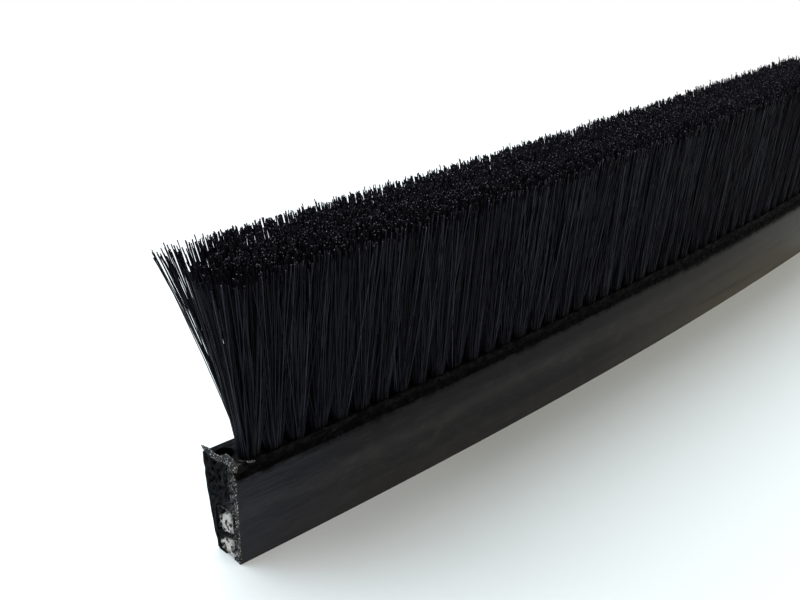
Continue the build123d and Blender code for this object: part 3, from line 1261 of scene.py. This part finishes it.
@dataclass(frozen=True)
class Flake:
    """A thin torn lip or curl of plastic that stands on the land at the near end.

    Its path is measured from the cut end, the front face and the land, in millimetres, and has a
    height and a width at each knot. Its lean is how far it tips along and back for each millimetre
    that it rises.
    """

    name: str
    path: tuple[Place, ...]
    heights: tuple[float, ...]
    widths: tuple[float, ...]
    lean: Span = (0.0, 0.0)
    frayed: float = 0.9

    def build(self, strip: Strip, finish: bpy.types.Material) -> bpy.types.Object:
        """Sweeps a small ragged section along the flake's path.

        Args:
            strip: the strip that it stands on.
            finish: its material.

        Returns:
            The flake's piece.
        """
        knots = np.linspace(0, 1, len(self.path))
        share = np.linspace(0, 1, 8 * len(self.path))
        path = np.stack([np.interp(share, knots, axis) for axis in np.array(self.path).T], -1)
        for _ in range(3):
            path[1:-1] = (path[:-2] + 2 * path[1:-1] + path[2:]) / 4
        height, width = np.interp(share, knots, self.heights), np.interp(share, knots, self.widths)
        ahead = np.gradient(path[:, :2], axis=0)
        ahead /= np.linalg.norm(ahead, axis=1)[:, None]
        aside = np.stack([-ahead[:, 1], ahead[:, 0]], -1)
        sideways = LIP_SECTION[None, :, 0] * width[:, None]
        rise = LIP_SECTION[None, :, 1] * height[:, None]
        lean = np.array(self.lean)[None, None, :] * rise[..., None]
        along = path[:, None, 0] - strip.half_length + aside[:, None, 0] * sideways + lean[..., 0]
        back = path[:, None, 1] + aside[:, None, 1] * sideways + lean[..., 1]
        up = strip.rail_height + path[:, None, 2] + rise
        flat = np.stack([along, back, up], -1).reshape(-1, 3)
        lumps = [
            0.20 * ripple(flat, Bumps.LIP, n) + 0.10 * ripple(flat, Bumps.LIP_FINE, n) for n in range(3)
        ]
        flat += np.stack(lumps, -1)
        rings, around = len(share), len(LIP_SECTION)
        ends = np.array([np.arange(around)[::-1], (rings - 1) * around + np.arange(around)])
        mesh = make_mesh(self.name, strip.place(*flat.T), [sheet_of_faces(rings, around), ends])
        face_outwards(mesh)
        for name, value in (("torn", 1.0), ("sawn", 1.0), ("frayed", self.frayed)):
            store(mesh, name, np.full(len(flat), value))
        smooth_below(mesh, 60)
        return put_on_strip(mesh, Slot.RAIL, finish)


NEAR_END_FLAKES = (
    Flake("rim_lip",
          path=((0.5, 0.7, -0.5), (0.9, 1.0, -0.2), (1.3, 2.0, 0), (1.4, 3.4, 0.1), (1.0, 4.8, 0),
                (0.3, 5.9, -0.2)),
          heights=(1.5, 2.1, 2.5, 2.6, 2.0, 1.3), widths=(1.1, 1.5, 1.6, 1.5, 1.2, 0.8), lean=(-0.3, 0.0)),
    Flake("saw_curl",
          path=((0.6, 5.6, -0.2), (0.3, 7.0, -0.1), (0.1, 8.4, 0.2), (-0.2, 9.7, 0.7), (-0.6, 11.2, 1.9)),
          heights=(1.2, 1.3, 1.5, 1.3, 0.2), widths=(0.9, 0.9, 0.9, 0.7, 0.12)),
    Flake("hole_lip",
          path=((3.2, 2.9, 0.3), (3.6, 1.9, 0.3), (4.3, 1.2, 0.3), (4.8, 0.85, 0.2), (5.4, 0.65, 0.1),
                (6.0, 0.7, 0)),
          heights=(0.25, 0.4, 0.4, 0.4, 0.35, 0.2), widths=(0.25, 0.35, 0.4, 0.4, 0.35, 0.2),
          lean=(0.0, -0.3), frayed=0.85),
)


@dataclass(frozen=True)
class Tuft:
    """One tuft's hole and the limits of its crown, in flat coordinates.

    It knows where its hole lies along the strip and behind the front face, where its crown starts and
    ends along the strip and behind the front face, and how many tufts stand between it and the end.
    """

    hole: float
    back: float
    top: Points
    depth: Span
    from_end: int


@dataclass
class Brush:
    """All the tufts, each a fan of single bristles.

    Lengths are in millimetres. The levels are where a bristle has its rings, as shares of its length.
    The powers say how late on its way up a bristle takes up its own place, its lean and its spread.
    The drops are how much shorter it may be at the crown's edges.
    """

    strip: Strip
    per_tuft: int = 225
    radius: float = 0.13
    flare: float = 1.25
    outer_band: float = 1.5
    rooted: float = 2.0
    levels: tuple[float, ...] = (0.0, 0.09, 0.24, 0.46, 0.72, 0.955, 1.0)
    own_power: float = 3.4
    lean_power: float = 1.45
    lean_reach: float = 5.0
    edge_drop: float = 1.9
    loose: Span = (2.9, 0.9)
    front_spread: float = 3.8
    front_drop: float = 2.2
    spread_power: float = 1.1
    row_gap: float = 0.3
    stray_share: float = 0.06
    stray_reach: Span = (2.6, 1.6)
    shank_room: float = 0.15
    rounding: float = 0.55
    end_room: float = 0.6
    ragged_room: float = 0.8
    sway: float = 0.35
    clear: float = 0.55
    taper: float = 3.5
    taper_start: float = 20.0
    taper_run: float = 113.0
    seed: int = 21

    def tops(self, holes: Points) -> Points:
        """Where each tuft of a row starts and ends along the strip at its crown.

        Args:
            holes: the places of the row's packed holes.

        Returns:
            Rows of start and end.
        """
        strip = self.strip
        limits = np.append(holes - strip.pitch / 2, holes[-1] + strip.pitch / 2)
        order = np.arange(len(limits))
        fade = 0.5 * np.exp(-order / strip.end_decay) + 0.5 * np.exp(-order / self.lean_reach)
        low = (limits[0] + strip.half_length + strip.end_reach) * fade
        high = (strip.half_length + strip.end_reach - limits[-1]) * fade[::-1]
        spread = limits + high - low
        return np.stack([spread[:-1], spread[1:]], -1)

    def targets(self, tuft: Tuft, s: Points, t: Points) -> tuple[Points, Points, Points]:
        """Where the tips would stand without chance, measured from the hole.

        Args:
            tuft: the tuft.
            s: each bristle's place along the tuft, from -1 to 1.
            t: its place across the tuft, from -1 to 1.

        Returns:
            The way along the strip within the tuft's own pitch, the lean past it, and the way back.
        """
        own, (start, stop), (front, rear) = self.strip.pitch / 2, tuft.top, tuft.depth
        stretch = np.array([tuft.hole - own - start, stop - tuft.hole - own]).clip(0)
        outer = t if rear > self.strip.back_row + 1 else -t
        rounded = 1 - self.rounding * np.clip(outer, 0, 1) ** 2
        ease = np.where(s < 0, stretch[0], stretch[1]) * rounded
        middle = (start + stop) / 2 - tuft.hole - (stretch[1] - stretch[0]) / 2
        lean = np.sign(s) * ease * np.abs(s) ** (1 + 1.2 * (ease > 0.5)) + middle * rounded
        return s * own, lean, (front + rear) / 2 - tuft.back + t * (rear - front) / 2

    def scatter(self, tuft: Tuft, reach: Points, rng: np.random.Generator) -> Points:
        """Chance in where the tips stand, which keeps them over the strip.

        Args:
            tuft: the tuft.
            reach: where each tip would stand along and behind, measured from the hole.
            rng: the source of chance.

        Returns:
            What chance adds to each tip's place, along and behind.
        """
        strip, count = self.strip, self.per_tuft
        scatter = rng.normal(0, self.loose, (count, 2))
        stray = rng.random(count) < self.stray_share
        scatter[stray] += rng.normal(0, self.stray_reach, (stray.sum(), 2))
        end = strip.half_length + strip.end_reach - self.end_room
        low = np.array([-end - tuft.hole, -self.front_spread - tuft.back])
        high = np.array([end - tuft.hole, strip.back_reach - self.clear - tuft.back])
        low = low + rng.uniform(0, self.ragged_room, (count, 2))
        high = high - rng.uniform(0, self.ragged_room, (count, 2))
        total = reach + scatter
        return scatter + (np.clip(total, low, high) - total)

    def trimmed(self, place: Points, rng: np.random.Generator) -> Points:
        """How long the shears left each bristle.

        Args:
            place: flat coordinates of the tips, all with a height of 0.
            rng: the source of chance.

        Returns:
            Lengths above the land.
        """
        strip, count, behind = self.strip, len(place), place[:, 1]
        patch, lock = 0.5 + 0.5 * ripple(place, Bumps.TRIM), ripple(place, Bumps.LOCKS)
        edge = np.clip(1 - np.minimum(behind + self.front_spread, strip.back_reach - behind) / 2.2, 0, 1)
        front = np.clip((2 - behind) / (2 + self.front_spread), 0, 1)
        trim = 1.0 + 0.8 * patch**2 + 0.16 * lock + rng.normal(0, 0.32, count)
        trim += self.edge_drop * edge**1.5 * rng.uniform(-0.1, 1.0, count)
        trim += self.front_drop * front**1.6
        chance = rng.random(count)
        missed, nicked, broken = chance < 0.03, (chance > 0.86) & (chance < 0.94), chance > 0.94
        trim[missed] -= rng.uniform(0.5, 1.2, missed.sum())
        trim[nicked] += rng.uniform(0.2, 0.9, nicked.sum())
        trim[broken] += rng.uniform(1, 5, broken.sum())
        return strip.bristle_length - np.clip(trim, 0.12, None)

    def fan(self, tuft: Tuft, rng: np.random.Generator) -> Points:
        """The middle lines of one tuft's bristles.

        Args:
            tuft: the tuft.
            rng: the source of chance.

        Returns:
            Flat coordinates, by bristle and level.
        """
        strip, count, level = self.strip, self.per_tuft, np.array(self.levels)[None, :]
        s, t = rng.uniform(-1, 1, (2, count))
        packed = strip.hole_radius - self.shank_room
        root = np.stack([s * np.sqrt(1 - t * t / 2), t * np.sqrt(1 - s * s / 2)], -1) * packed
        own, lean, spread = self.targets(tuft, s, t)
        reach = np.column_stack([own + lean, spread])
        scatter = self.scatter(tuft, reach, rng)
        tips = reach + scatter
        place = np.column_stack([tuft.hole + tips[:, 0], tuft.back + tips[:, 1], np.zeros(count)])
        height = level * self.trimmed(place, rng)[:, None]

        # Each bristle leaves its root upright, finds its own place in the crown and leans last
        rise = np.clip(height / strip.bristle_length, 0, 1)
        late = math.exp(-tuft.from_end / 1.5)
        own_share = 1 - (1 - rise) ** self.own_power
        lean_share = late * rise**self.lean_power + (1 - late) * rise
        turn = rng.uniform(0, 2 * math.pi, (count, 1))
        sway = rng.normal(0, self.sway, (count, 1))
        sway = sway * np.sin(math.pi * level * rng.uniform(0.8, 1.8, (count, 1)))
        offset = root[:, None, :] + scatter[:, None, :] * rise[..., None]
        offset[..., 0] += (own - root[:, 0])[:, None] * own_share + lean[:, None] * lean_share
        offset[..., 1] += (spread - root[:, 1])[:, None] * rise**self.spread_power
        offset += sway[..., None] * np.stack([np.cos(turn), np.sin(turn)], -1)
        behind = np.clip(tuft.back + offset[..., 1], 0.25 - strip.front_reach, strip.back_reach - 0.25)
        return np.stack([tuft.hole + offset[..., 0], behind, strip.rail_height + height], -1)

    def bristle_mesh(self, name: str, lines: Points, rng: np.random.Generator) -> bpy.types.Mesh:
        """Gives every middle line its thickness.

        Args:
            name: the mesh's name.
            lines: flat coordinates, by bristle and level.
            rng: the source of chance.

        Returns:
            One mesh of separate closed bristles.
        """
        # Each bristle starts a little below the land, inside its hole
        rooted = lines[:, :1].copy()
        rooted[..., 2] -= self.rooted
        lines = np.concatenate([rooted, lines], axis=1)
        count, rings = lines.shape[:2]

        # Three corners to a ring, wider at the tip, which is cut unevenly
        turn = rng.uniform(0, 2 * math.pi, (count, 1, 1)) + np.arange(3) * 2 * math.pi / 3
        flare = np.append(np.ones(rings - 1), self.flare)[:, None]
        thick = self.radius * rng.uniform(0.85, 1.15, (count, 1, 1)) * flare
        along = lines[..., 0, None] + thick * np.cos(turn)
        back = lines[..., 1, None] + thick * np.sin(turn)
        up = np.repeat(lines[..., 2, None], 3, axis=2)
        up[:, -1] += rng.uniform(-0.16, 0.10, (count, 3))
        up = np.minimum(up, self.strip.rail_height + self.strip.bristle_length - 0.01)
        points = self.strip.place(along, back, up).reshape(-1, 3)
        first = np.arange(count)[:, None] * rings * 3
        sides = (sheet_of_faces(rings, 3)[None] + first[..., None]).reshape(-1, 4)
        feet = first + np.array([[2, 1, 0]])
        ends = first + (rings - 1) * 3 + np.array([[0, 1, 2]])
        mesh = make_mesh(name, points, [sides, feet, ends])
        smooth = np.ones(len(mesh.polygons), bool)
        smooth[len(sides) :] = False
        mesh.polygons.foreach_set("use_smooth", smooth)

        # Dull sides with painted shade by the tip, apart from the crown's front edge, pale cuts with a
        # painted highlight and a tone for each bristle
        finish = np.full(len(mesh.polygons), BristleFace.SIDE, np.int32)
        inner = lines[:, -1, 1] > self.outer_band * rng.uniform(0, 1.3, count) - self.front_spread
        finish[: len(sides)].reshape(count, -1)[inner, -3:] = BristleFace.TIP
        finish[len(sides) + count :] = BristleFace.CUT
        mesh.polygons.foreach_set("material_index", finish)
        store(mesh, "tone", np.repeat(rng.random(count), rings * 3))
        return mesh

    def build(self, *finishes: bpy.types.Material) -> list[bpy.types.Object]:
        """Makes each numbered pair of tufts as one piece.

        Args:
            finishes: the materials of the bristles' faces, in their order.

        Returns:
            The pieces, from the near end to the far one.
        """
        strip = self.strip
        rng = np.random.default_rng(self.seed)
        line = (strip.front_row + strip.back_row) / 2
        front, back = strip.holes(Row.FRONT)[1:-1], strip.holes(Row.BACK)[1:]
        front_tops, back_tops = self.tops(front), self.tops(back)
        front_depth = (-self.front_spread, line - self.row_gap / 2)
        pieces, last = [], len(front) - 1
        for n in range(len(front)):
            narrow = self.taper * np.clip((back[n] - self.taper_start) / self.taper_run, 0, 1)
            back_depth = (line + self.row_gap / 2, strip.back_reach - narrow)
            tufts = (
                Tuft(front[n], strip.front_row, front_tops[n], front_depth, min(n, last - n)),
                Tuft(back[n], strip.back_row, back_tops[n], back_depth, min(n, last - n)),
            )
            lines = np.concatenate([self.fan(tuft, rng) for tuft in tufts])
            mesh = self.bristle_mesh(f"bristles_{n + 1:02d}", lines, rng)
            piece = put_on_strip(mesh, Slot.BRISTLES, *finishes)
            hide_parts(f"tufts_{n + 1:02d}")
            pieces.append(piece)
        return pieces


@dataclass(frozen=True)
class Lamp:
    """A square lamp that faces the strip, with its place and its side in millimetres."""

    name: str
    place: Place
    side: float
    power: float
    colour: Colour

    def hang(self) -> None:
        """Adds the lamp to the scene."""
        data = bpy.data.lights.new(self.name, "AREA")
        data.color = self.colour
        data.size = self.side * MM
        data.energy = self.power
        lamp = bpy.data.objects.new(self.name, data)
        lamp.location = Vector(self.place) * MM
        lamp.rotation_euler = (-lamp.location).to_track_quat("-Z", "Y").to_euler()
        bpy.context.scene.collection.objects.link(lamp)


@dataclass
class Studio:
    """A pale floor, soft lamps and the camera."""

    camera_place: Place = (-250.3, -167.1, 148.85)
    heading: float = 45.77
    pitch: float = 23.63
    focal_pixels: float = 1110.4
    frame_pixels: float = 800.0
    floor_colour: Colour = (0.70, 0.74, 0.76)
    floor_size: float = 6000.0
    lamps: tuple[Lamp, ...] = (
        Lamp("key", (-60.0, 460.0, 575.0), 1100.0, 15.6, (0.895, 0.98, 1.02)),
        Lamp("fill", (190.0, -540.0, 210.0), 300.0, 2.1, (1.0, 0.91, 0.74)),
    )
    world_colour: Colour = (1.0, 0.99, 0.95)
    world_light: float = 0.395

    def floor(self) -> None:
        """Lays the floor, which is seen white behind the strip, beside it and far away."""
        half = self.floor_size / 2
        corners = np.array([(-half, -half, 0), (half, -half, 0), (half, half, 0), (-half, half, 0)], float)
        mesh = make_mesh("floor", corners, [np.array([[0, 1, 2, 3]])])
        bench = Bench.for_finish("floor_card")
        here = bench.where()
        card = bench.surface(Base_Color=(*self.floor_colour, 1.0), Roughness=0.6)
        glow = bench.node("ShaderNodeEmission", None, {"Color": (1, 1, 1, 1), "Strength": 1.0})
        behind, beside = bench.reach(here, (0.0, 1.0, 0.0)), bench.reach(here, (-0.70, 0.71, 0.0))
        away = bench.node("ShaderNodeVectorMath", {"operation": "LENGTH"}, {0: here}, output="Value")
        white = behind.ramp_mm(50, 350) + beside.ramp_mm(30, 420) + away.ramp_mm(200, 500)
        share = white.ramp(0.0, 1.0) * bench.seen()
        mixed = bench.node("ShaderNodeMixShader", None, {0: share, 1: card, 2: glow})
        mesh.materials.append(bench.end(mixed))
        floor = bpy.data.objects.new("floor", mesh)
        bpy.context.scene.collection.objects.link(floor)

    def world(self) -> None:
        """Surrounds the scene with even light, and shows it white."""
        bench = Bench(bpy.data.worlds.new("studio"))
        seen = bench.seen()
        colour = bench.blend(seen, self.world_colour, (1.0, 1.0, 1.0))
        strength = self.world_light + (1 - self.world_light) * seen
        sky = bench.node("ShaderNodeBackground", None, {"Color": colour, "Strength": strength})
        bench.raw("ShaderNodeOutputWorld", None, {"Surface": sky})
        bpy.context.scene.world = bench.holder

    def camera(self) -> None:
        """Sets up the camera at the photograph's viewing angle."""
        data = bpy.data.cameras.new("camera")
        data.sensor_fit = "HORIZONTAL"
        data.sensor_width = 36.0
        data.lens = self.focal_pixels / self.frame_pixels * data.sensor_width
        data.clip_start, data.clip_end = 0.01, 20.0
        camera = bpy.data.objects.new("camera", data)
        camera.location = Vector(self.camera_place) * MM
        camera.rotation_euler = (math.radians(90 - self.pitch), 0, math.radians(-self.heading))
        bpy.context.scene.collection.objects.link(camera)
        bpy.context.scene.camera = camera

    def build(self) -> None:
        """Sets up floor, light and camera."""
        self.floor()
        self.world()
        self.camera()
        for lamp in self.lamps:
            lamp.hang()
        bpy.context.scene.view_settings.view_transform = "Standard"


def filler_outlines(rail: Rail, clearance: float = 0.2) -> dict[str, Points]:
    """The outlines of the two cores, from the chambers that hold them.

    Args:
        rail: the rail with the chambers.
        clearance: the room left all round.

    Returns:
        An outline for each filler node.
    """
    strip, sole = rail.strip, rail.sole_thickness
    front = rail.front_wall + clearance
    rib = rail.rib_height + rail.rib_thickness
    inner_foot = strip.foot_width - rail.back_wall - clearance
    inner_rib = strip.back_face(rail.rib_height) - rail.back_wall - clearance
    back_roof = strip.back_face(rail.channel_height) - rail.chamber_wall - clearance
    roof, shoulder = rail.channel_height - clearance, rail.channel_shoulder
    lower = [
        (front, sole + clearance), (inner_foot, sole + clearance),
        (inner_rib, rail.rib_height + rail.rib_rise - clearance), (front, rail.rib_height - clearance),
    ]
    upper = [
        (front, rib + clearance), (back_roof, rib + rail.rib_rise + clearance), (back_roof, roof - shoulder),
        (back_roof - shoulder, roof), (front + shoulder, roof), (front, roof - shoulder),
    ]
    return {"lower_filler": even_out(lower, 0.4), "upper_filler": even_out(upper, 0.4)}


def even_out(corners: list[tuple[float, float]], step: float) -> Points:
    """Adds points along a closed outline so that none lie further apart than a step."""
    ring = np.array([*corners, corners[0]], float)
    parts = []
    for start, stop in zip(ring[:-1], ring[1:]):
        count = max(1, math.ceil(np.linalg.norm(stop - start) / step))
        parts.append(np.linspace(start, stop, count + 1)[:-1])
    return np.concatenate(parts)


# Where each core has crumbled away at its ends, as Filler tells
CORE_EDGES = {
    "lower_filler": ((7.2, 2.4, 0.60, 0.80), (0.0, 0.9, 0.0, -1.0)),
    "upper_filler": ((7.2, 0.0, 1.0, 0.0), (7.1, 8.3, 0.75, 0.60), (4.6, 5.5, 0.4, -1.0)),
}


def report(piece: bpy.types.Object) -> None:
    """Logs a finished piece."""
    log.info("%s: %d faces", piece.name, len(piece.data.polygons))


def main() -> None:
    """Builds the strip's sub-assemblies in order, then the studio."""
    strip = Strip()
    plastic, nylon, core = RailPlastic().material(), BristleNylon(), PorousCore().material()
    rail = Rail(strip)
    report(rail.build(plastic))
    for node, outline in filler_outlines(rail).items():
        report(Filler(strip, node, outline, CORE_EDGES[node]).build(core))
    for flake in NEAR_END_FLAKES:
        report(flake.build(strip, plastic))
    for piece in Brush(strip).build(nylon.material(), nylon.cut_ends_painted_glint(), nylon.dull_shaded_tips()):
        report(piece)

    anchors = frame["nodes"]["anchors"]
    anchors.data.materials.clear()
    anchors.data.materials.append(DrawnWire().material())
    report(anchors)

    Studio().build()


if __name__ == "__main__":
    logging.basicConfig(level=logging.INFO, format="%(name)s %(message)s")
    main()
